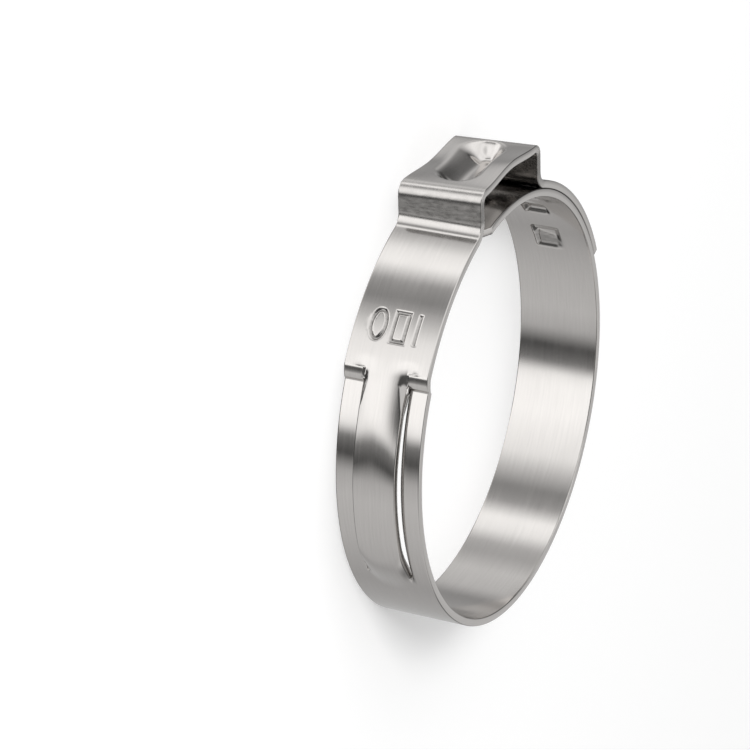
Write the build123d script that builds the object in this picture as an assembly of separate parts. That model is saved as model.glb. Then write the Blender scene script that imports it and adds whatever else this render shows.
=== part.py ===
"""Stepless ear hose clamp, bent from one length of flat stainless steel strip.

The strip goes once round the hose and overlaps itself. Seen along the bore, going
anticlockwise from the middle of the ear, the outer lap carries a plain stretch, then a
step where its two side rails drop to the hose while the middle runs on as a raised
channel between two slits. The single lap then goes round the bottom and becomes the
inner lap. It passes under the outer end, where its pressed hooks stand in three windows,
bridges the open ear and ends in a narrow tongue that slides in the channel.

Frame: millimetres, bore axis on +Z, resting rim on z = 0, ear towards +Y.
Stations along the band are arc lengths on the faces where the two laps meet, from the
middle of the ear. They count up anticlockwise and down clockwise.
"""

import os
from math import asin, cos, degrees, radians, sin, sqrt

from build123d import *

# Strip and bore
bore_diameter = 33.1       # free bore, the ear still open
band_width = 6.8
strip_thickness = 0.6
lap_clearance = 0.05       # air left between the two laps

# Ear
ear_inside_width = 9.7     # between the insides of the legs
ear_rise = 2.25            # ring's outside to the corners of the ear's top, mean of the two rims
ear_lean = 0.12            # top corners stand this much higher at the upper rim, lower at z = 0
crown_upper = 0.42         # rise of the top's middle at the upper rim
crown_lower = -0.3         # the same at z = 0, where the top is hollow
ear_corner_radius = 1.0    # outside of the top bends
ear_foot_radius = 1.0      # outside of the foot bends

# Dimple in the ear's top
dimple_length = 8.2
dimple_width = 3.6
dimple_depth = 0.95
dimple_offset = 0.4        # towards the back leg
dimple_draft = 32          # degrees that its walls lean
dimple_floor_radius = 0.4

# Outer end of the strip, with its windows
first_window = 11.6        # station, clockwise, of the window nearest the ear
window_pitch = 3.45
window_count = 3
window_length = 1.9        # along the band
window_width = 2.4
window_corner_radius = 0.35
end_land = 3.05            # from the last window to the outer end
end_flat_width = 3.5       # between the two clipped corners
end_clip_length = 2.1

# Hooks of the inner lap that stand in the windows
hook_side_clearance = 0.12
hook_end_clearance = 0.08
hook_ramp = 0.7            # length of the slope that lifts a hook out of the lap
hook_height = 0.45
nose_length = 1.15         # reach of the last hook over the edge of its window
nose_thickness = 0.45
nose_corner_radius = 0.7
hook_edge_radius = 0.15

# Step, channel and rails
step_start = 17.45         # station, anticlockwise
step_length = 0.8
channel_width = 3.4        # raised middle of the band
slit_width = 0.3
slit_end = 34.6
fade_lead = 1.2            # the channel begins to sink this far before its slits end
fade_length = 3.0

# Inner end of the strip
shoulder_start = 3.7       # station, anticlockwise, where the full width ends
shoulder_length = 1.8
tongue_reach = 1.55        # past the step, into the channel
tongue_side_clearance = 0.2  # to each rail
tongue_tip_width = 2.4
tongue_tip_length = 1.2

# Radii of the four faces of the two laps
bore_radius = bore_diameter / 2
lap_radius = bore_radius + strip_thickness
outer_lap_radius = lap_radius + lap_clearance
outside_radius = outer_lap_radius + strip_thickness
middle = band_width / 2
cutter_reach = 2 * strip_thickness  # to each side of the face where the laps meet
tongue_width = channel_width + 2 * slit_width - 2 * tongue_side_clearance
rail_width = (band_width - channel_width) / 2 - slit_width

# Stations and heights that follow from those above
outer_end = first_window + (window_count - 1) * window_pitch + window_length / 2 + end_land
step_end = step_start + step_length
fade_start = slit_end - fade_lead
fade_end = fade_start + fade_length
shoulder_end = shoulder_start + shoulder_length
tongue_end = step_end + tongue_reach
ear_height = outside_radius + ear_rise

# Outside of the ear's legs, and centre of each foot bend
leg_outside = ear_inside_width / 2 + strip_thickness
foot_x = leg_outside + ear_foot_radius
foot_y = sqrt((outside_radius + ear_foot_radius) ** 2 - foot_x**2)
foot_angle = degrees(asin(foot_x / (outside_radius + ear_foot_radius)))


def bearing(station):
    """Degrees round the bore from the middle of the ear, anticlockwise positive."""
    return degrees(station / lap_radius)


def on_ring(radius, angle):
    """The point of the ring's edge view at a bearing."""
    return Vector(-radius * sin(radians(angle)), radius * cos(radians(angle)))


def along_ring(angle):
    """Direction of the band, anticlockwise, at a bearing."""
    return Vector(-cos(radians(angle)), -sin(radians(angle)))


def closed_face(*edges):
    return make_face(list(edges))


def lap_section(inner_radius, start, end):
    """Edge view of one lap between two bearings."""
    inside = CenterArc((0, 0), inner_radius, 90 + start, end - start)
    outside = CenterArc((0, 0), inner_radius + strip_thickness, 90 + start, end - start)
    return closed_face(inside, Line(inside @ 1, outside @ 1), outside, Line(outside @ 0, inside @ 0))


def sloped_section(start, end):
    """Edge view of the strip sinking smoothly from the outer lap to the bore."""
    def slope(rise):
        first = on_ring(outer_lap_radius + rise, start)
        last = on_ring(bore_radius + rise, end)
        return Spline(first, last, tangents=[along_ring(start), along_ring(end)])

    inside = slope(0)
    outside = slope(strip_thickness)
    return closed_face(inside, Line(inside @ 1, outside @ 1), outside, Line(outside @ 0, inside @ 0))


def across(section, width=band_width, base=None):
    """Give an edge view its width, in the middle of the band unless base says where."""
    floor = middle - width / 2 if base is None else base
    return Pos(0, 0, floor) * extrude(section, amount=width)


def both_sides(section, width):
    """Give an edge view to the two margins of the band."""
    return [across(section, width, 0), across(section, width, band_width - width)]


def radial_plane(station):
    """Plane touching the faces where the laps meet: x along the band, z outwards."""
    angle = bearing(station)
    return Plane(
        origin=on_ring(lap_radius, angle) + Vector(0, 0, middle),
        x_dir=along_ring(angle),
        z_dir=on_ring(1, angle),
    )


def clipped_corners(full_station, clipped_station, full_width, clipped_width):
    """Two wedges that narrow the band between two stations, and beyond."""
    plane = radial_plane((full_station + clipped_station) / 2)
    half_run = (clipped_station - full_station) / 2
    wedges = []
    for side in (1, -1):
        corner = (-half_run, side * full_width / 2)
        clip_end = (half_run, side * clipped_width / 2)
        beyond = (2 * half_run, side * clipped_width / 2)
        outside = (2 * half_run, side * band_width)
        back = (-half_run, side * band_width)
        outline = make_face(Polyline(corner, clip_end, beyond, outside, back, close=True))
        wedges.append(extrude(plane * outline, amount=cutter_reach, both=True))
    return wedges


def ear_skin(corner_height, crown, depth):
    """One face of the ear's strip at a rim, depth below the outer one, back foot first."""
    foot = ear_foot_radius + depth
    corner = ear_corner_radius - depth
    wall = leg_outside - depth
    top = corner_height - depth
    corner_x = leg_outside - ear_corner_radius
    corner_y = corner_height - ear_corner_radius
    level = [Vector(-1, 0), Vector(-1, 0)]
    return [
        CenterArc((foot_x, foot_y), foot, 270 - foot_angle, foot_angle - 90),
        Line((wall, foot_y), (wall, corner_y)),
        CenterArc((corner_x, corner_y), corner, 0, 90),
        Spline((corner_x, top), (0, top + crown), (-corner_x, top), tangents=level),
        CenterArc((-corner_x, corner_y), corner, 90, 90),
        Line((-wall, corner_y), (-wall, foot_y)),
        CenterArc((-foot_x, foot_y), foot, 0, foot_angle - 90),
    ]


def ear_strip(corner_height, crown):
    """Edge view of the ear at one rim: feet, legs and crowned top."""
    outer = ear_skin(corner_height, crown, 0)
    inner = ear_skin(corner_height, crown, strip_thickness)
    ends = [Line(outer[0] @ 0, inner[0] @ 0), Line(outer[-1] @ 1, inner[-1] @ 1)]
    return make_face(outer + inner + ends)


def ear_filled(corner_height, crown):
    """What lies under the ear's outer face at one rim."""
    outer = ear_skin(corner_height, crown, 0)
    return make_face(outer + [Line(outer[0] @ 0, outer[-1] @ 1)])


def rim_to_rim(section):
    """Loft an ear section, a little lower and hollower at z = 0 than at the upper rim."""
    lower = section(ear_height - ear_lean, crown_lower)
    upper = section(ear_height + ear_lean, crown_upper)
    return loft([lower, Pos(0, 0, band_width) * upper], ruled=True)


def dimple_tool(growth, depth):
    """The dimple's stadium, sunk depth into the ear's top with leaning walls."""
    plane = Plane(origin=(dimple_offset, ear_height, middle), x_dir=(1, 0, 0), z_dir=(0, 1, 0))
    outline = plane * SlotOverall(dimple_length + 2 * growth, dimple_width + 2 * growth)
    sunk = extrude(outline, amount=-depth, taper=dimple_draft)
    floor_edges = sunk.faces().sort_by(Axis.Y)[0].edges()
    sunk = fillet(floor_edges, dimple_floor_radius)
    return sunk + extrude(outline, amount=strip_thickness)


def ear():
    """The open ear, with its pressed dimple."""
    wall_growth = strip_thickness / cos(radians(dimple_draft))
    bulge = dimple_tool(wall_growth, dimple_depth + strip_thickness) & rim_to_rim(ear_filled)
    return rim_to_rim(ear_strip) + bulge - dimple_tool(0, dimple_depth)


def window_stations():
    return [-(first_window + i * window_pitch) for i in range(window_count)]


def outer_tail():
    """The outer lap from the ear's back foot to the clipped end, with the windows."""
    tail = across(lap_section(outer_lap_radius, bearing(-outer_end), -foot_angle))
    opening = RectangleRounded(window_length, window_width, window_corner_radius)
    for station in window_stations():
        plane = radial_plane(station)
        tail -= extrude(plane * opening, amount=cutter_reach, both=True)
    clip_start = -(outer_end - end_clip_length)
    for wedge in clipped_corners(clip_start, -outer_end, band_width, end_flat_width):
        tail -= wedge
    return tail


def channel_and_rails():
    """The plain stretch, the step, the raised channel and the two rails beside it."""
    pieces = [across(lap_section(outer_lap_radius, foot_angle, bearing(step_start)))]
    pieces += both_sides(sloped_section(bearing(step_start), bearing(step_end)), rail_width)
    rail = lap_section(bore_radius, bearing(step_end), bearing(slit_end))
    pieces += both_sides(rail, rail_width)
    margin = lap_section(bore_radius, bearing(slit_end), bearing(fade_end))
    pieces += both_sides(margin, rail_width + slit_width)
    raised = lap_section(outer_lap_radius, bearing(step_start), bearing(fade_start))
    pieces.append(across(raised, channel_width))
    sinking = sloped_section(bearing(fade_start), bearing(fade_end))
    pieces.append(across(sinking, channel_width))
    return pieces


def hook(has_nose):
    """A hook on top of the ring, its free end towards +X, and the dent pressed behind it."""
    back = hook_end_clearance - window_length / 2
    front = -back
    width = window_width - 2 * hook_side_clearance
    root = lap_radius - strip_thickness / 2
    crest = lap_radius + hook_height
    points = [(back, root), (back, lap_radius)]
    if has_nose:
        nose_floor = outside_radius + lap_clearance
        crest = nose_floor + nose_thickness
        points += [(back + hook_ramp, crest), (front + nose_length, crest)]
        points += [(front + nose_length, nose_floor), (front, nose_floor)]
    else:
        points += [(back + hook_ramp, crest), (front, crest)]
    points.append((front, root))
    body = across(make_face(Polyline(*points, close=True)), width)
    front_edges = body.edges().filter_by(Axis.Y).group_by(Axis.X)[1]
    body = fillet(front_edges, window_corner_radius)
    if has_nose:
        nose_edges = body.edges().filter_by(Axis.Y).group_by(Axis.X)[-1]
        body = fillet(nose_edges, nose_corner_radius)
    crown_edges = body.faces().sort_by(Axis.Y)[-1].edges()
    body = fillet(crown_edges, hook_edge_radius)
    dent_front = front - 2 * hook_edge_radius
    dent_top = bore_radius + hook_height
    dent_points = [(back, 0), (back, bore_radius), (back + hook_ramp, dent_top)]
    dent_points += [(dent_front, dent_top), (dent_front, 0)]
    dent = across(make_face(Polyline(*dent_points, close=True)), width - 2 * hook_edge_radius)
    return body, dent


def inner_lap():
    """From the channel's end round the bottom, under the windows and the ear, to the tongue."""
    lap = across(lap_section(bore_radius, bearing(fade_end), 360 + bearing(shoulder_end)))
    for wedge in clipped_corners(shoulder_start, shoulder_end, band_width, tongue_width):
        lap -= wedge
    for number, station in enumerate(window_stations(), start=1):
        body, dent = hook(has_nose=number == window_count)
        turn = Rot(0, 0, bearing(station))
        lap = lap + turn * body - turn * dent
    tongue = across(lap_section(bore_radius, bearing(shoulder_end), bearing(tongue_end)), tongue_width)
    tip_start = tongue_end - tongue_tip_length
    for wedge in clipped_corners(tip_start, tongue_end, tongue_width, tongue_tip_width):
        tongue -= wedge
    return lap + tongue


def clamp_band():
    """The whole strip as one solid."""
    band = inner_lap()
    for piece in channel_and_rails() + [outer_tail(), ear()]:
        band += piece
    return band


os.makedirs("parts", exist_ok=True)
export_step(clamp_band(), "parts/clamp_band.step")
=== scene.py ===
# %% [markdown]
# # A stepless ear hose clamp in brushed stainless steel
#
# The real clamp is one length of flat strip. A press cuts its outline, its windows and its
# slits while it is flat, stamps a mark, lifts hooks and a channel, and rolls the strip round
# until it overlaps itself. The last bends make the ear, the open loop that a pincer closes.
#
# The scene is made in the same order. A flat blank is cut as a mesh, a Geometry Nodes tree
# presses and bends it along a curve, and a brushed steel material follows the strip's own
# length, so its grain runs round every bend.

# %% Load the frame
from math import asin, ceil, degrees, radians, sqrt

import bpy
import numpy as np
from mathutils import Matrix, Vector


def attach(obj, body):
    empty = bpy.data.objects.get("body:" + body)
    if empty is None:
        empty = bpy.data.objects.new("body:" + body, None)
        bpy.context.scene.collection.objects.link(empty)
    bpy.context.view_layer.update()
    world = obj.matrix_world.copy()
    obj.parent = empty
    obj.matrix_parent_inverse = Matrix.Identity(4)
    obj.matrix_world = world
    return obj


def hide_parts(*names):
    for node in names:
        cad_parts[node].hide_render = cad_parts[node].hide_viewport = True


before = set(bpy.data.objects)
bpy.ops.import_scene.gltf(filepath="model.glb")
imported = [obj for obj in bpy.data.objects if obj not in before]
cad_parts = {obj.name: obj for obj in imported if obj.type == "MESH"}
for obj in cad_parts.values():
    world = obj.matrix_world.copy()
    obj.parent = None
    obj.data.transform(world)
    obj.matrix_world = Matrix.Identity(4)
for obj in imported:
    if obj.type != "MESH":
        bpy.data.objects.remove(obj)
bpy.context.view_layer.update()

# %% [markdown]
# ## The camera
#
# The clamp is a loose ring, so it lies on its rim, with the bore's axis upright. The camera
# stands a little above it, turned so that the ear is at the top of the picture. A long lens
# keeps the two rims nearly parallel, as in a product picture taken from a few steps away.
# Blender's camera looks along its own -Z axis, so its matrix columns are right, up and back.

# %% The camera
MM = 0.001
look = Vector((0.79841, -0.44396, -0.40675))
up = Vector((0.41049, 0.89555, -0.17174))
stand = Vector((-208.614, 116.591, 101.102)) * MM
camera_data = bpy.data.cameras.new("product_camera")
camera_data.lens = 159.52
camera_data.sensor_width = 36.0
camera_data.clip_start = 0.01
camera = bpy.data.objects.new("product_camera", camera_data)
bpy.context.scene.collection.objects.link(camera)
turn = Matrix((look.cross(up), up, -look)).transposed().to_4x4()
camera.matrix_world = Matrix.Translation(stand) @ turn
bpy.context.scene.camera = camera
bpy.context.scene.view_settings.view_transform = "Standard"
print("camera stands", round(stand.length / MM), "mm from the bore's centre")

# %% [markdown]
# ## The strip's sizes
#
# Most of these repeat the sizes of the solid, in millimetres. The slits, the step and the
# fading end of the channel have sizes of their own here. A *station* is a length round the
# ring, counted from the middle of the ear on the face where the two laps meet.

# %% Sizes
band_width, strip_thickness, lap_clearance = 6.8, 0.6, 0.05
bore_radius = 33.1 / 2
lap_radius = bore_radius + strip_thickness
inner_lap = bore_radius + strip_thickness / 2  # middle of the strip, inner lap
outer_lap = inner_lap + strip_thickness + lap_clearance
middle = band_width / 2

ear_inside_width, ear_rise, ear_lean = 9.7, 2.25, 0.12
ear_corner_radius, ear_foot_radius = 1.0, 1.0
ear_height = outer_lap + strip_thickness / 2 + ear_rise
leg_outside = ear_inside_width / 2 + strip_thickness
foot_x = leg_outside + ear_foot_radius
foot_reach = outer_lap + strip_thickness / 2 + ear_foot_radius
foot_y = sqrt(foot_reach**2 - foot_x**2)
foot_angle = degrees(asin(foot_x / foot_reach))

first_window, window_pitch, window_count = 11.6, 3.45, 3
window_length, window_width, window_corner = 1.9, 2.4, 0.35
end_land = 3.05  # from the last window to the outer end
outer_end = first_window + (window_count - 1) * window_pitch + window_length / 2 + end_land
end_flat_width, end_clip = 3.5, 2.1
step_start, step_end = 17.25, 18.4
channel_width, slit_width, slit_lead, slit_end = 3.4, 0.12, 0.4, 34.6
fade_start, fade_end = 32.2, 36.4
shoulder_start, shoulder_end, tongue_end = 3.7, 5.5, 19.8
tongue_width, tip_width, tip_length = 3.6, 2.4, 1.2
print("the feet of the ear stand at", round(foot_angle, 2), "degrees")

# %% [markdown]
# ## The course of the strip
#
# The strip is followed along the middle of its thickness, from its outer end, over the ear,
# down the step and once round the bore to the tip of its tongue. Straight runs and arcs that
# touch each other give the bends their real radii. The course becomes a curve object, which
# the nodes read later, and `starts` remembers how far along it each run begins.

# %% The course
def arc(centre, radius, first, last):
    """Points of an arc; its angles are in degrees from +X."""
    count = max(8, ceil(abs(radians(last - first)) * radius / 0.08))
    angles = np.radians(np.linspace(first, last, count + 1))
    return np.column_stack([centre[0] + radius * np.cos(angles), centre[1] + radius * np.sin(angles)])


def smooth(t):
    """A soft start and end between 0 and 1."""
    t = np.clip(t, 0, 1)
    return t * t * (3 - 2 * t)


def bearing(station):
    """Degrees round the bore from the middle of the ear."""
    return np.degrees(station / lap_radius)


def sinking():
    """The step, where the strip leans over gently, then drops from the outer lap to the bore."""
    t = np.linspace(0, 1, 61)
    places = [0, 0.2, 0.5, 0.6, 0.82, 0.86, 0.91, 0.95, 1]
    slope = np.interp(t, places, [0, 0.4, 0.47, 0.68, 0.8, 1.8, 1.8, 0.35, 0])
    drop = np.cumsum(slope) / slope.sum()
    angles = np.radians(90 + bearing(step_start + t * (step_end - step_start)))
    radii = outer_lap - (outer_lap - inner_lap) * drop
    return np.column_stack([radii * np.cos(angles), radii * np.sin(angles)])


half = strip_thickness / 2
corner_x, corner_y = leg_outside - ear_corner_radius, ear_height - ear_corner_radius
leg_x, top_y = leg_outside - half, ear_height - half
foot_bend, corner_bend = ear_foot_radius + half, ear_corner_radius - half
runs = {
    "tail": arc((0, 0), outer_lap, 90 - bearing(outer_end), 90 - foot_angle),
    "back foot": arc((foot_x, foot_y), foot_bend, 270 - foot_angle, 180),
    "back leg": np.array([(leg_x, foot_y), (leg_x, corner_y)]),
    "back corner": arc((corner_x, corner_y), corner_bend, 0, 90),
    "ear top": np.array([(corner_x, top_y), (-corner_x, top_y)]),
    "front corner": arc((-corner_x, corner_y), corner_bend, 90, 180),
    "front leg": np.array([(-leg_x, corner_y), (-leg_x, foot_y)]),
    "front foot": arc((-foot_x, foot_y), foot_bend, 0, foot_angle - 90),
    "front lap": arc((0, 0), outer_lap, 90 + foot_angle, 90 + bearing(step_start)),
    "step": sinking(),
    "inner lap": arc((0, 0), inner_lap, 90 + bearing(step_end), 450 + bearing(tongue_end)),
}
starts, course, length = {}, [], 0.0
for name, points in runs.items():
    starts[name] = length
    length += np.linalg.norm(np.diff(points, axis=0), axis=1).sum()
    course.append(points if not course else points[1:])
course = np.vstack(course)
course_along = np.append(0, np.cumsum(np.linalg.norm(np.diff(course, axis=0), axis=1)))

course_data = bpy.data.curves.new("strip_course", "CURVE")
course_data.dimensions = "3D"
line = course_data.splines.new("POLY")
line.points.add(len(course) - 1)
flat_points = np.column_stack([course * MM, np.zeros(len(course)), np.ones(len(course))])
line.points.foreach_set("co", flat_points.ravel())
course_object = bpy.data.objects.new("strip_course", course_data)
print("the strip is", round(length, 1), "mm long; its runs start at",
      {name: round(start, 1) for name, start in starts.items()})

# %% [markdown]
# ## Cutting the flat blank
#
# The blank is a grid of quads with lines where the press cuts. Cells inside a window or a
# slit are left out, and the slits are only as wide as a shear leaves them. Grid lines stand
# close together where the strip is bent or pressed, and far apart on the plain lap. The ends
# are narrowed by drawing the rows together, and the corners of the windows are rounded by
# moving their vertices on to an arc.

# %% Where the features lie on the blank
def on_tail(station):
    return (bearing(outer_end) - bearing(station)) * outer_lap * radians(1)


def on_front(station):
    return starts["front lap"] + (bearing(station) - foot_angle) * outer_lap * radians(1)


def on_inner(station):
    """Place on the inner lap of a station from the step onwards, up to a turn and more."""
    return starts["inner lap"] + (bearing(station) - bearing(step_end)) * inner_lap * radians(1)


one_turn = radians(360) * lap_radius
windows = [on_tail(first_window + i * window_pitch) for i in range(window_count)]
hooks = [on_inner(one_turn - first_window - i * window_pitch) for i in range(window_count)]
hook_half_length, hook_half_width, lance = 0.87, 1.08, 0.06
lock_front, lock_root = hooks[-1] - 1.3, hooks[-1] + 1.65
slit_start = starts["inner lap"] - slit_lead
mark_station, mark_half_length = 14.1, 1.5
mark_centre = on_front(mark_station)
print("windows at", np.round(windows, 2), "and hooks at", np.round(hooks, 2))


# %% Grid lines
def lines(*stops):
    """Grid lines through the stops, each given with the pitch that leads up to it."""
    made = [stops[0]]
    for pitch, stop in stops[1:]:
        count = max(1, ceil((stop - made[-1]) / pitch - 1e-6))
        made.extend(np.linspace(made[-1], stop, count + 1)[1:])
    return np.array(made)


def window_stops(centre):
    u = window_length / 2
    return [(0.3, centre - u - 0.12), (0.12, centre - u), (0.12, centre + u), (0.12, centre + u + 0.12)]


def hook_stops(centre):
    front, back = centre - hook_half_length, centre + hook_half_length
    return [(0.3, front - lance - 0.1), (0.1, front - lance), (lance, front), (0.1, back)]


def lock_stops():
    front = [(0.3, lock_front - 0.1), (0.08, lock_front + 0.4)]
    return front + [(0.12, lock_root - 0.4), (0.09, lock_root + 0.1)]


columns = [0.0, (0.15, end_clip)]
for centre in reversed(windows):
    columns += window_stops(centre)
columns += [(0.4, starts["back foot"] - 0.5), (0.16, starts["ear top"]), (0.13, starts["front corner"])]
columns += [(0.16, starts["front lap"] + 0.6), (0.4, mark_centre - mark_half_length)]
columns += [(0.07, mark_centre + mark_half_length), (0.25, starts["step"] - 1.0), (0.12, starts["step"])]
columns += [(0.06, slit_start), (0.05, starts["inner lap"]), (0.15, starts["inner lap"] + 2)]
columns += [(0.3, on_inner(fade_start)), (0.14, on_inner(slit_end)), (0.16, on_inner(fade_end + 0.6))]
columns += [(0.6, hooks[-1] - 2.5)] + lock_stops()
for centre in reversed(hooks[:-1]):
    columns += hook_stops(centre)
columns += [(0.4, on_inner(one_turn + shoulder_start)), (0.2, on_inner(one_turn + shoulder_end))]
columns += [(0.5, length - tip_length), (0.2, length)]
columns = lines(*columns)

rail_width = (band_width - channel_width) / 2 - slit_width
slit_edge = rail_width + slit_width
window_edge = middle - window_width / 2
lower_rows = lines(0.0, (0.12, 0.12), (0.22, rail_width - 0.4), (0.08, rail_width), (0.12, slit_edge),
                   (0.09, window_edge), (0.06, middle - hook_half_width - 0.03), (0.085, middle))
rows = np.concatenate([lower_rows, (band_width - lower_rows)[-2::-1]])
print("the blank's grid has", len(columns), "columns and", len(rows), "rows")

# %% Cut the blank
def half_width(x):
    """Half the blank's width at a place along it: clipped end, shoulders and tongue tip."""
    stops = [0, end_clip, on_inner(one_turn + shoulder_start), on_inner(one_turn + shoulder_end),
             length - tip_length, length]
    widths = [end_flat_width, band_width, band_width, tongue_width, tongue_width, tip_width]
    return np.interp(x, stops, widths) / 2


def inside(x, y, x_span, half_height):
    """Which cells have their centre in a rectangle in the middle of the band."""
    return (x > x_span[0]) & (x < x_span[1]) & (abs(y - middle) < half_height)


def blank_sheet(name, columns, rows, open_cells, move=None):
    """A flat grid of quads, in metres, with the open cells left out."""
    x, y = np.meshgrid(columns, rows, indexing="ij")
    if move:
        x, y = move(x, y)
    across = len(rows)
    i, j = np.meshgrid(range(len(columns) - 1), range(across - 1), indexing="ij")
    corner = (i * across + j).ravel()
    quads = np.column_stack([corner, corner + across, corner + across + 1, corner + 1])
    mid_x = (columns[:-1] + columns[1:])[:, None] / 2 + 0 * j
    mid_y = (rows[:-1] + rows[1:])[None, :] / 2 + 0 * j
    quads = quads[~open_cells(mid_x, mid_y).ravel()]
    used, quads = np.unique(quads, return_inverse=True)
    points = np.column_stack([x.ravel(), y.ravel(), 0 * x.ravel()])[used] * MM
    mesh = bpy.data.meshes.new(name)
    mesh.from_pydata(points, [], quads.reshape(-1, 4))
    sheet = bpy.data.objects.new(name, mesh)
    bpy.context.scene.collection.objects.link(sheet)
    return sheet


def band_openings(x, y):
    """The cells of the two slits and of the windows."""
    aside = abs(y - middle)
    holes = (x > slit_start) & (x < on_inner(slit_end))
    holes &= (aside > channel_width / 2) & (aside < channel_width / 2 + slit_width)
    for centre in windows:
        span = (centre - window_length / 2, centre + window_length / 2)
        holes |= inside(x, y, span, window_width / 2)
    return holes


def band_outline(x, y):
    """Narrow the ends and round the windows' corners."""
    for centre in windows:
        u, v = x - centre, y - middle
        flat_u = window_length / 2 - window_corner
        flat_v = window_width / 2 - window_corner
        on_edge = np.isclose(abs(u), window_length / 2) & (abs(v) < window_width / 2 + 1e-6)
        on_edge |= np.isclose(abs(v), window_width / 2) & (abs(u) < window_length / 2 + 1e-6)
        corner = on_edge & (abs(u) > flat_u) & (abs(v) > flat_v)
        du, dv = abs(u[corner]) - flat_u, abs(v[corner]) - flat_v
        pull = window_corner / np.hypot(du, dv)
        x[corner] = centre + np.sign(u[corner]) * (flat_u + du * pull)
        y[corner] = middle + np.sign(v[corner]) * (flat_v + dv * pull)
    return x, middle + (y - middle) * half_width(x) / (band_width / 2)


band_blank = blank_sheet("band_blank", columns, rows, band_openings, band_outline)
print("band blank:", len(band_blank.data.polygons), "quads")

# %% [markdown]
# ## The lock hook's tongue
#
# The last hook's tongue rises through the last window, and its rounded nose reaches over the
# window's edge, which locks the ring. It's a small blank of its own, because it lies over
# the band where it passes the edge. On the inside its punch leaves only a pocket, which is
# pressed into the band further down.

# %% The tongue of the lock hook
nose_length, nose_thickness = 1.15, 0.45
tongue_start = hooks[-1] - hook_half_length - nose_length
tongue_columns = lines(tongue_start, (0.05, tongue_start + 0.5), (0.1, lock_root + 0.1))
tongue_rows = lines(middle - hook_half_width, (0.09, middle + hook_half_width))


def round_nose(x, y):
    """Draw the tongue's end in to a rounded nose."""
    reach = np.clip((x - tongue_start) / hook_half_width, 0, 1)
    return x, middle + (y - middle) * (0.42 + 0.58 * np.sqrt(1 - (1 - reach) ** 2))


tongue_blank = blank_sheet("hook_tongue_blank", tongue_columns, tongue_rows,
                           lambda x, y: np.zeros(x.shape, bool), round_nose)
print("hook tongue:", len(tongue_blank.data.polygons), "quads")

# %% [markdown]
# ## Thickness and rounded edges
#
# While a blank is flat, a Solidify modifier gives it an even wall and a Bevel modifier
# rounds every cut edge a little, as tumbling does after the press. On a flat plate both are
# exact, and the bend that follows carries them along.

# %% Give the blanks their thickness
def as_plain_mesh(piece, name):
    """Replace a piece by a plain mesh of what its modifiers make."""
    evaluated = piece.evaluated_get(bpy.context.evaluated_depsgraph_get())
    mesh = bpy.data.meshes.new_from_object(evaluated)
    mesh.name = name
    old = piece.data
    piece.modifiers.clear()
    piece.data = mesh
    bpy.data.meshes.remove(old)
    piece.name = name
    return piece


def thicken(sheet, thickness, edge_radius):
    wall = sheet.modifiers.new("wall", "SOLIDIFY")
    wall.thickness = thickness * MM
    wall.offset = 0
    edges = sheet.modifiers.new("tumbled_edges", "BEVEL")
    edges.width = edge_radius * MM
    edges.segments = 2
    edges.limit_method = "ANGLE"
    edges.angle_limit = radians(35)
    edges.use_clamp_overlap = False
    return as_plain_mesh(sheet, sheet.name)


cut_edge_radius, nose_edge_radius = 0.055, 0.1
thicken(band_blank, strip_thickness, cut_edge_radius)
thicken(tongue_blank, nose_thickness, nose_edge_radius)
for blank in (band_blank, tongue_blank):
    print(blank.name, "has", len(blank.data.polygons), "faces with its edges rounded")

# %% [markdown]
# ## Where the dies press
#
# Each press is a mask on the blank's vertices, from 0 where the die doesn't touch to 1 where
# it presses fully. The depths come later, as inputs of the node tree, so one mask can be
# pressed deeper or shallower. The grain's own map is laid down here too: its U runs along
# the strip and its V across, both in millimetres.

# %% Masks and the map of the blank
def positions(mesh):
    co = np.empty(3 * len(mesh.vertices))
    mesh.vertices.foreach_get("co", co)
    x, y, h = (co.reshape(-1, 3) / MM).T
    return x, y, h


def add_mask(mesh, name, values):
    mask = mesh.attributes.new(name, "FLOAT", "POINT")
    mask.data.foreach_set("value", np.ascontiguousarray(values, dtype=np.float32))


def add_grain_map(mesh):
    x, y, h = positions(mesh)
    loops = np.empty(len(mesh.loops), dtype=np.int32)
    mesh.loops.foreach_get("vertex_index", loops)
    layer = mesh.uv_layers.new(name="grain_map")
    side = (y + np.where(h < 0, band_width + 1, 0))[loops]
    layer.uv.foreach_set("vector", np.column_stack([x[loops], side]).astype(np.float32).ravel())


def plateau(x, stops):
    """1 between the two middle stops, and sloping evenly to 0 at the two outer ones."""
    return np.interp(x, stops, [0, 1, 1, 0])


def channel_mask(x, y):
    """1 on the raised channel, falling to 0 at its rounded end and beside its sides."""
    shoulder = np.interp(x - slit_start, [0, 2.4], [1, 0]) * np.where(y > middle, 0.6, 0.35)
    off_side = (abs(y - middle) - channel_width / 2 + shoulder) / (0.3 + shoulder)
    sides = 1 - smooth(off_side)
    crescent = 1.3 * np.clip(abs(y - middle) / (channel_width / 2), 0, 1) ** 3
    end = on_inner(fade_end) - crescent
    run = on_inner(fade_end) - on_inner(fade_start)
    course_height = np.interp(x, course_along, np.hypot(*course.T)) - inner_lap
    rise = 1 - course_height / (outer_lap - inner_lap)
    between_slits = abs(y - middle) < (channel_width + slit_width) / 2
    on_channel = (x < slit_start) | between_slits
    return sides * on_channel * rise * (x > starts["step"]) * smooth((end - x) / run)


def roll_mask(x, y):
    """The channel's two edges, rolled down softly where they leave the step."""
    v = abs(y - middle)
    near_step = plateau(x - starts["step"], [-1.0, 0.5, 3.0, 9.0])
    side = np.where(y > middle, 1, 0.6)
    past = v - channel_width / 2
    lands = np.where(x < starts["step"], 1 - smooth(past / 1.2), past < slit_width / 2)
    return np.clip((past + 2.1) / 2.1, 0, 1) ** 2 * lands * smooth(near_step) * side


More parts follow.
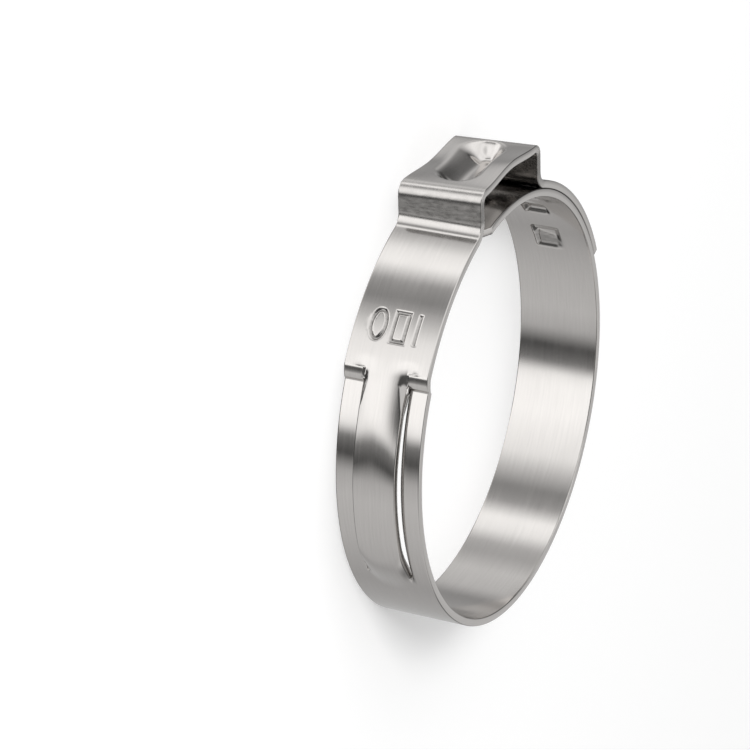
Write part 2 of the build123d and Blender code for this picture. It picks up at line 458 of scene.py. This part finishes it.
def rail_edge_mask(x, y, h):
    """The near rail's sheared edge, rounded over on its outer face."""
    past = y - middle - channel_width / 2 - slit_width
    on_rail = (past > -slit_width / 2) & (h > 0)
    ends = smooth((x - slit_start + 0.2) / 0.5) * smooth((on_inner(slit_end) + 0.6 - x) / 0.8)
    return np.clip(1 - past / 0.4, 0, 1) ** 2 * on_rail * ends


def ear_top_masks(x, y):
    """The crown's bulge, shared out between the two rims, and the lean of the ear."""
    from_middle = abs(x - (starts["ear top"] + starts["front corner"]) / 2)
    bulge = 1 - smooth(from_middle / corner_x)
    bulge[(x < starts["ear top"]) | (x > starts["front corner"])] = 0
    legs = [starts["back leg"], starts["back corner"], starts["front leg"], starts["front foot"]]
    up_the_ear = plateau(x, legs)
    return bulge * y / band_width, bulge * (1 - y / band_width), up_the_ear * (y / middle - 1)


def dimple_mask(x, y):
    """A long hollow with leaning walls, a little skewed, nearer to the back leg."""
    u = (starts["ear top"] + starts["front corner"]) / 2 - x - dimple_offset
    v = y - middle - dimple_skew * u
    straight = dimple_length / 2 - dimple_width / 2
    over = np.clip(abs(u) - straight, 0, None)
    reach = np.hypot(over, v)
    side = 1 - over / np.maximum(reach, 0.01)
    far = side * (v < 0)
    wall = dimple_end_wall + (dimple_wall - dimple_end_wall) * side + 0.8 * far
    return smooth((dimple_width / 2 + 0.45 * far - reach) / wall)


def hook_mask(x, y, h):
    """Low pillows that rise towards their lanced front edge, softer on the inside."""
    mask = np.zeros(x.shape)
    v = abs(y - middle)
    for centre in hooks[:-1]:
        u = x - (centre - hook_half_length)
        behind = (u > -lance / 2) & (u < 2 * hook_half_length)
        rise = smooth(1.15 - u / (2 * hook_half_length) * 1.15)
        pillow = np.where(behind, rise * smooth((hook_half_width - v) / 0.5), 0)
        dent = 0.93 * smooth((u - 1.05) / 0.45) * smooth((3.2 - u) / 0.8) * smooth((1.2 - v) / 0.6)
        mask += np.where(h > 0, pillow, dent)
    return mask


def punch_mask(x, y, h):
    """The pocket that the lock hook's punch leaves on the inside, deeper towards the nose."""
    u, v = x - lock_front, y - middle
    sides = smooth((v + 1.3) / 0.45) * smooth((1.3 - v) / 0.9)
    ends = smooth(u / 0.55) * smooth((lock_root - x) / 0.4)
    fold = 0.6 + 0.4 * smooth((u - 1.2 + 0.3 * v) / 0.35)
    return np.where(h < 0, sides * ends * fold, 0)


def tongue_mask(x):
    """The lock hook lifts a little under the outer lap, then steeply through the window."""
    u = lock_root - x
    return 0.08 * smooth(u / 0.7) + 0.92 * smooth((u - 0.6) / 1.5)


def matt_and_painted_shade_masks(x):
    """Where the ear's bends left the steel matt, and where its legs get a painted dark reflection."""
    corner, leg, foot, lap = [starts["front " + part] for part in ("corner", "leg", "foot", "lap")]
    back_edge, back_leg = starts["back foot"] - 0.3, starts["back leg"]
    back_corner, top = starts["back corner"], starts["ear top"]
    matt = plateau(x, [corner - 0.7, corner + 0.1, foot, lap + 0.3])
    matt += plateau(x, [back_edge, back_leg, top - 0.3, top + 0.3])
    # Painted dark reflection: this mask darkens the base colour on the ear's two legs.
    dull = plateau(x, [leg - 0.35, leg - 0.1, foot - 0.05, foot + 0.05])
    dull += plateau(x, [back_edge, back_leg, back_corner + 0.1, back_corner + 0.35])
    return matt, dull


# %% The stamped mark
stamp_half_length = 1.1
ring_half_width, box_half_width, bar_half_length = 0.58, 0.5, 1.05
stamp_line, stamp_slope = 0.18, 0.14  # a stamped line's half width, and its wall's whole width


def ring_stamp(u, v):
    """Distance to an ellipse, near enough for a line this thin."""
    reach = np.hypot(u / stamp_half_length, v / ring_half_width)
    steepness = np.hypot(u / stamp_half_length**2, v / ring_half_width**2)
    return abs(reach - 1) * reach / np.maximum(steepness, 0.01)


def box_stamp(u, v):
    return abs(np.maximum(abs(u) - stamp_half_length, abs(v) - box_half_width))


def bar_stamp(u, v):
    return np.hypot(np.clip(abs(u) - bar_half_length, 0, None), v)


def stamp_mask(x, y, h):
    """Three plain stamped shapes in a row across the outer face."""
    mask = np.zeros(x.shape)
    for across, shape in ((-1.5, ring_stamp), (0.25, box_stamp), (1.65, bar_stamp)):
        away = shape(x - mark_centre, y - middle - across)
        mask = np.maximum(mask, smooth((stamp_line - away) / stamp_slope))
    return mask * (h > 0) * (abs(x - mark_centre) < mark_half_length)


# %% Lay the masks on the blanks
dimple_length, dimple_width, dimple_wall, dimple_end_wall = 8.2, 3.8, 1.6, 1.05
dimple_offset, dimple_skew = 0.4, -0.05
x, y, h = positions(band_blank.data)
high, low, lean = ear_top_masks(x, y)
hook, punch = hook_mask(x, y, h), punch_mask(x, y, h)
rail_edge, stamp = rail_edge_mask(x, y, h), stamp_mask(x, y, h)
dents = np.clip(hook + punch, 0, 1) * (h < 0)
# Painted shade: a darker base colour along the near rail's rolled edge, in the stamped grooves and on
# the walls of the inside dents.
painted_edge_and_groove_shade = 0.9 * rail_edge ** 0.4 + 0.9 * stamp + 3 * dents * (1 - dents)
matt, dull = matt_and_painted_shade_masks(x)
band_masks = {
    "ear": (x > starts["back foot"]) & (x < starts["front lap"]),
    "channel": channel_mask(x, y),
    "roll": roll_mask(x, y),
    "rail_edge": rail_edge,
    "crown_high": high,
    "crown_low": low,
    "lean": lean,
    "dimple": dimple_mask(x, y),
    "hook": hook,
    "strain": matt,
    # Painted shade and painted dark reflections, laid into the base colour.
    "dull": np.clip(dull + painted_edge_and_groove_shade, 0, 1),
    "punch": punch,
    "stamp": stamp,
    "lock_hook": 0 * x,
}
for name, values in band_masks.items():
    add_mask(band_blank.data, name, values)
x, y, h = positions(tongue_blank.data)
for name in band_masks:
    add_mask(tongue_blank.data, name, tongue_mask(x) if name == "lock_hook" else 0 * x)
for blank in (band_blank, tongue_blank):
    add_grain_map(blank.data)
    print(blank.name, "carries", [a.name for a in blank.data.attributes if a.domain == "POINT"])

# %% [markdown]
# ## Pressing and bending with Geometry Nodes
#
# The whole strip follows one rule: a point at a length along the blank belongs at that
# length along the course. The tree samples the course there, builds the direction that
# points out of the strip, adds what the dies press, and moves the point. On the ear that
# direction is square to the course, and elsewhere straight out from the bore. The tree's
# inputs are the depths of the presses, so they can be tried by hand.

# %% Two helpers for node trees
def feed(socket, value):
    """Wire another node's output into a socket, or give the socket a plain value."""
    if isinstance(value, bpy.types.NodeSocket):
        socket.id_data.links.new(value, socket)
    else:
        socket.default_value = value


def math_node(nodes, kind, *values):
    node = nodes.new("ShaderNodeMath")
    node.operation = kind
    for socket, value in zip(node.inputs, values):
        feed(socket, value)
    return node.outputs[0]


# %% The press and bend tree
def press_and_bend_tree():
    tree = bpy.data.node_groups.new("press_and_bend", "GeometryNodeTree")
    face = tree.interface
    face.new_socket("Blank", in_out="INPUT", socket_type="NodeSocketGeometry")
    face.new_socket("Course", in_out="INPUT", socket_type="NodeSocketObject")
    face.new_socket("Steel", in_out="INPUT", socket_type="NodeSocketMaterial")
    for name, mask in PRESSES:
        depth = face.new_socket(name, in_out="INPUT", socket_type="NodeSocketFloat")
        depth.subtype = "DISTANCE"
    face.new_socket("Strip", in_out="OUTPUT", socket_type="NodeSocketGeometry")
    nodes, wires = tree.nodes, tree.links
    given = nodes.new("NodeGroupInput")

    def vector(kind, *values, scale=None):
        node = nodes.new("ShaderNodeVectorMath")
        node.operation = kind
        for socket, value in zip(node.inputs, values):
            feed(socket, value)
        if scale is not None:
            feed(node.inputs["Scale"], scale)
        return node.outputs[0]

    def mask_value(name):
        node = nodes.new("GeometryNodeInputNamedAttribute")
        node.data_type = "FLOAT"
        node.inputs["Name"].default_value = name
        return node.outputs["Attribute"]

    place = nodes.new("ShaderNodeSeparateXYZ")
    wires.new(nodes.new("GeometryNodeInputPosition").outputs[0], place.inputs[0])
    along, across, depth = place.outputs
    info = nodes.new("GeometryNodeObjectInfo")
    wires.new(given.outputs["Course"], info.inputs["Object"])
    sample = nodes.new("GeometryNodeSampleCurve")
    sample.mode = "LENGTH"
    sample.use_all_curves = True
    wires.new(info.outputs["Geometry"], sample.inputs["Curves"])
    wires.new(along, sample.inputs["Length"])
    from_course = vector("NORMALIZE", vector("CROSS_PRODUCT", sample.outputs["Tangent"], (0, 0, 1)))
    from_bore = vector("NORMALIZE", sample.outputs["Position"])
    choose = nodes.new("ShaderNodeMix")
    choose.data_type = "VECTOR"
    wires.new(mask_value("ear"), choose.inputs["Factor"])
    wires.new(from_bore, choose.inputs[4])
    wires.new(from_course, choose.inputs[5])
    outward = choose.outputs[1]

    lift, rise = depth, 0.0
    for name, mask in PRESSES:
        pressed = math_node(nodes, "MULTIPLY", mask_value(mask), given.outputs[name])
        if mask == "lean":
            rise = math_node(nodes, "ADD", rise, pressed)
        else:
            lift = math_node(nodes, "ADD", lift, pressed)
    upward = nodes.new("ShaderNodeCombineXYZ")
    wires.new(rise, upward.inputs["Y"])
    wires.new(across, upward.inputs["Z"])
    out = vector("ADD", vector("SCALE", outward, scale=lift), upward.outputs[0])
    bend = nodes.new("GeometryNodeSetPosition")
    wires.new(given.outputs["Blank"], bend.inputs["Geometry"])
    wires.new(vector("ADD", sample.outputs["Position"], out), bend.inputs["Position"])
    real = nodes.new("GeometryNodeRealizeInstances")
    wires.new(bend.outputs[0], real.inputs[0])
    coat = nodes.new("GeometryNodeSetMaterial")
    wires.new(real.outputs[0], coat.inputs["Geometry"])
    wires.new(given.outputs["Steel"], coat.inputs["Material"])
    wires.new(coat.outputs[0], nodes.new("NodeGroupOutput").inputs[0])
    return tree


PRESSES = [
    ("Channel Height", "channel"),
    ("Channel Edge Roll", "roll"),
    ("Rail Edge Roll", "rail_edge"),
    ("Crown at the Upper Rim", "crown_high"),
    ("Crown at the Lower Rim", "crown_low"),
    ("Lean of the Ear", "lean"),
    ("Dimple Depth", "dimple"),
    ("Hook Height", "hook"),
    ("Punch Mark Depth", "punch"),
    ("Lock Hook Height", "lock_hook"),
    ("Stamp Depth", "stamp"),
]
press_and_bend = press_and_bend_tree()
print("the tree has", len(press_and_bend.nodes), "nodes and", len(PRESSES), "depths")

# %% [markdown]
# ## Brushed stainless steel
#
# Strip steel is rolled and brushed along its length. Three things show it: fine grooves
# along the strip, highlights that are drawn out across the grooves, and slow changes of
# gloss from handling. The grooves are a noise stretched along the strip's own map, used for
# bump and for roughness. The shader's anisotropy draws the highlights out. The bends of the
# ear are strained until they turn matt. A darker base colour paints dark reflections on the
# ear's legs and painted shade on the near rail's sheared edge, in the stamps and on the walls
# of the inside dents. One mask says where the steel is strained, another where shade is painted.

# %% The steel
GROOVE_TONE, RIDGE_TONE = (0.61, 0.59, 0.572, 1), (0.645, 0.624, 0.605, 1)
# Painted shade and painted dark reflections: the darker tone laid on the legs, the rail's edge, the
# stamps and the dents.
PAINTED_SHADE_TONE = (0.225, 0.218, 0.21, 1)


def brushed_steel():
    steel = bpy.data.materials.new("brushed_stainless")
    steel.use_nodes = True
    nodes, wires = steel.node_tree.nodes, steel.node_tree.links
    shader = nodes["Principled BSDF"]
    shader.inputs["Metallic"].default_value = 1.0
    shader.inputs["Anisotropic"].default_value = 0.5
    shader.inputs["Anisotropic Rotation"].default_value = 0.25

    grain_map = nodes.new("ShaderNodeUVMap")
    grain_map.uv_map = "grain_map"
    direction = nodes.new("ShaderNodeTangent")
    direction.direction_type = "UV_MAP"
    direction.uv_map = "grain_map"
    wires.new(direction.outputs[0], shader.inputs["Tangent"])

    def mask_value(name):
        node = nodes.new("ShaderNodeAttribute")
        node.attribute_name = name
        return node.outputs["Fac"]

    def stretched_noise(along, across, detail):
        scale = nodes.new("ShaderNodeMapping")
        scale.inputs["Scale"].default_value = (along, across, 1)
        wires.new(grain_map.outputs[0], scale.inputs["Vector"])
        noise = nodes.new("ShaderNodeTexNoise")
        noise.inputs["Scale"].default_value = 1.0
        noise.inputs["Detail"].default_value = detail
        wires.new(scale.outputs[0], noise.inputs["Vector"])
        return noise.outputs["Fac"]

    def spread(value, low, high):
        ramp = nodes.new("ShaderNodeMapRange")
        ramp.inputs["From Min"].default_value = 0.3
        ramp.inputs["From Max"].default_value = 0.7
        ramp.inputs["To Min"].default_value = low
        ramp.inputs["To Max"].default_value = high
        wires.new(value, ramp.inputs["Value"])
        return ramp.outputs[0]

    grooves = stretched_noise(0.3, 7.0, 5)
    handling = stretched_noise(0.25, 0.5, 3)
    pits = stretched_noise(4.0, 1.4, 5)
    strain, dull = mask_value("strain"), mask_value("dull")
    matt = math_node(nodes, "MULTIPLY", strain, spread(pits, 0.07, 0.17))
    gloss = math_node(nodes, "ADD", spread(grooves, 0.0, 0.03), spread(handling, 0.10, 0.16))
    feed(shader.inputs["Roughness"], math_node(nodes, "ADD", gloss, matt))

    def colour_mix(factor, first, second):
        node = nodes.new("ShaderNodeMix")
        node.data_type = "RGBA"
        for socket, value in zip((node.inputs["Factor"], *node.inputs[6:8]), (factor, first, second)):
            feed(socket, value)
        return node.outputs[2]

    brushed = colour_mix(spread(grooves, 0, 1), GROOVE_TONE, RIDGE_TONE)
    # Painted shade: the base colour darkens towards this tone where the mask says.
    painted_shade_amount = math_node(nodes, "MULTIPLY", dull, spread(pits, 0.6, 1.0))
    feed(shader.inputs["Base Color"], colour_mix(painted_shade_amount, brushed, PAINTED_SHADE_TONE))

    fine = math_node(nodes, "MULTIPLY", grooves, 0.5)
    relief = math_node(nodes, "ADD", fine, math_node(nodes, "MULTIPLY", pits, strain))
    bump = nodes.new("ShaderNodeBump")
    bump.inputs["Strength"].default_value = 0.12
    bump.inputs["Distance"].default_value = 0.02 * MM
    wires.new(relief, bump.inputs["Height"])
    wires.new(bump.outputs[0], shader.inputs["Normal"])
    return steel


steel = brushed_steel()
print("steel made:", steel.name)

# %% Press and bend the blanks
def press(blank, depths, name):
    mover = blank.modifiers.new("press_and_bend", "NODES")
    mover.node_group = press_and_bend
    ids = {item.name: item.identifier for item in press_and_bend.interface.items_tree
           if item.item_type == "SOCKET" and item.in_out == "INPUT"}
    mover[ids["Course"]] = course_object
    mover[ids["Steel"]] = steel
    for depth_name, depth in depths.items():
        mover[ids[depth_name]] = depth * MM
    as_plain_mesh(blank, name)
    blank.data.shade_smooth()
    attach(blank, "root")
    return blank


nose_height = outer_lap + strip_thickness / 2 + lap_clearance + nose_thickness / 2 - inner_lap
depths = {
    "Channel Height": outer_lap - inner_lap,
    "Channel Edge Roll": -0.27,
    "Rail Edge Roll": -0.22,
    "Crown at the Upper Rim": 0.42,
    "Crown at the Lower Rim": -0.3,
    "Lean of the Ear": ear_lean,
    "Dimple Depth": -1.25,
    "Hook Height": 0.45,
    "Punch Mark Depth": 0.42,
    "Lock Hook Height": nose_height,
    "Stamp Depth": -0.14,
}
band = press(band_blank, depths, "pressed_band")
hook_tongue = press(tongue_blank, depths, "lock_hook_tongue")
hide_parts("clamp_band")
for piece in (band, hook_tongue):
    print(piece.name, "has", len(piece.data.polygons), "faces")

# %% [markdown]
# ## Floor and light
#
# Bare metal has hardly a colour of its own: it shows the room. Light walls with dark gaps
# between them draw the bands that tell the eye how the strip turns. Here the world is such
# a round room, in rows. Its tones weren't designed as a set of lamps: some come from
# brightness readings, and the rest from comparing renders.
#
# - The *lower walls* are mirrored by the upright faces. Their tone depends only on the
#   compass direction.
# - The *upper walls* are mirrored by what leans up: the dimple, the rolled edge of the
#   channel and the walls of the stamps. Their dark side stands behind the camera.
# - The row *near the ground* is mirrored by edges that lean down, and the ceiling is grey.
#
# The floor stays white for the camera and takes the clamp's shadow. Its small lift is seen
# only by camera rays, so it adds no light to the steel. Glossy rays pass the floor, as when
# the clamp is held above the table, so that both faces mirror the room.

# %% The round room
ROOM_BRIGHTNESS = 1.6
CEILING = 0.5
# Heights of a direction, from -1 straight down to 1 straight up, over which two rows fade.
GROUND_FADE, WALLS_FADE, CEILING_FADE = (-0.8, -0.62), (-0.25, 0.05), (0.62, 0.85)
# Compass direction in degrees and tone; the tone fades evenly from one to the next.
LOWER_WALLS = [
    (0, 0.26), (18, 0.22), (30, 0.43), (48, 0.50), (62, 0.34), (70, 0.38), (79, 0.80), (88, 0.90),
    (98, 0.28), (108, 0.20), (118, 0.46), (128, 0.77), (152, 0.95), (168, 0.93), (174, 0.84),
    (180, 0.16), (190, 0.05), (200, 0.38), (212, 0.44), (235, 0.40), (270, 0.29), (325, 0.34),
]
NEAR_THE_GROUND = [
    (0, 0.20), (60, 0.40), (85, 0.90), (138, 0.90), (152, 0.04), (300, 0.04), (330, 0.20),
]
UPPER_WALLS = [
    (0, 0.04), (26, 0.05), (42, 0.32), (60, 0.62), (82, 0.82), (96, 0.80), (112, 0.75), (130, 0.80),
    (140, 0.50), (148, 0.06), (200, 0.07), (216, 0.30), (240, 0.44), (262, 0.44), (276, 0.08),
    (304, 0.08), (316, 0.40), (334, 0.40), (346, 0.22), (354, 0.06),
]


def grey(tone):
    return (tone, tone, tone, 1)


def room_world():
    world = bpy.data.worlds.new("round_room")
    world.use_nodes = True
    nodes, wires = world.node_tree.nodes, world.node_tree.links
    parts = nodes.new("ShaderNodeSeparateXYZ")
    wires.new(nodes.new("ShaderNodeTexCoord").outputs["Generated"], parts.inputs[0])
    compass = math_node(nodes, "ARCTAN2", parts.outputs["Y"], parts.outputs["X"])
    turn = math_node(nodes, "MULTIPLY_ADD", compass, 1 / radians(360), 1.0)
    whole_turn = math_node(nodes, "FRACT", turn)

    def walls(tones):
        """One row of tones, as a ramp that runs once round the compass."""
        ramp = nodes.new("ShaderNodeValToRGB")
        elements = ramp.color_ramp.elements
        stops = tones + [(360, tones[0][1])]
        while len(elements) < len(stops):
            elements.new(0.5)
        for element, (place, tone) in zip(elements, stops):
            element.position = place / 360
            element.color = grey(tone)
        wires.new(whole_turn, ramp.inputs[0])
        return ramp.outputs[0]

    def above(low, high, under, over):
        """One row under a height and another over it, fading between the two."""
        height = nodes.new("ShaderNodeMapRange")
        height.interpolation_type = "SMOOTHSTEP"
        height.inputs["From Min"].default_value = low
        height.inputs["From Max"].default_value = high
        wires.new(parts.outputs["Z"], height.inputs["Value"])
        rows = nodes.new("ShaderNodeMix")
        rows.data_type = "RGBA"
        wires.new(height.outputs[0], rows.inputs["Factor"])
        feed(rows.inputs[6], under)
        feed(rows.inputs[7], over)
        return rows.outputs[2]

    room = above(*WALLS_FADE, walls(LOWER_WALLS), walls(UPPER_WALLS))
    room = above(*GROUND_FADE, walls(NEAR_THE_GROUND), room)
    room = above(*CEILING_FADE, room, grey(CEILING))
    wires.new(room, nodes["Background"].inputs["Color"])
    nodes["Background"].inputs["Strength"].default_value = ROOM_BRIGHTNESS
    bpy.context.scene.world = world
    return [len(row) for row in (NEAR_THE_GROUND, LOWER_WALLS, UPPER_WALLS)]


print("the room's walls have", room_world(), "stops")

# %% The floor and the lamp
FLOOR_TONE = 0.85
FLOOR_LIFT = 0.21  # a strength of 1 is white


def white_floor():
    bpy.ops.mesh.primitive_plane_add(size=2.0, location=(0, 0, 0))
    floor = bpy.context.object
    floor.name = "floor"
    paint = bpy.data.materials.new("white_floor")
    paint.use_nodes = True
    nodes = paint.node_tree.nodes
    shader = nodes["Principled BSDF"]
    shader.inputs["Base Color"].default_value = grey(FLOOR_TONE)
    shader.inputs["Roughness"].default_value = 0.9
    seen = nodes.new("ShaderNodeLightPath").outputs["Is Camera Ray"]
    shader.inputs["Emission Color"].default_value = grey(1)
    feed(shader.inputs["Emission Strength"], math_node(nodes, "MULTIPLY", seen, FLOOR_LIFT))
    floor.data.materials.append(paint)
    floor.visible_glossy = False
    return floor


def soft_lamp(name, place, aim, size, watts):
    data = bpy.data.lights.new(name, "AREA")
    data.shape = "RECTANGLE"
    data.size, data.size_y = size
    data.energy = watts
    lamp = bpy.data.objects.new(name, data)
    bpy.context.scene.collection.objects.link(lamp)
    lamp.location = place
    lamp.rotation_euler = (Vector(aim) - Vector(place)).to_track_quat("-Z", "Y").to_euler()
    return lamp


floor = white_floor()
key = soft_lamp("key", (-0.33, 0.42, 0.42), (0, 0, 0), (0.22, 0.22), 2.5)
key.visible_glossy = False
print("stage set with", floor.name, "and", key.name)
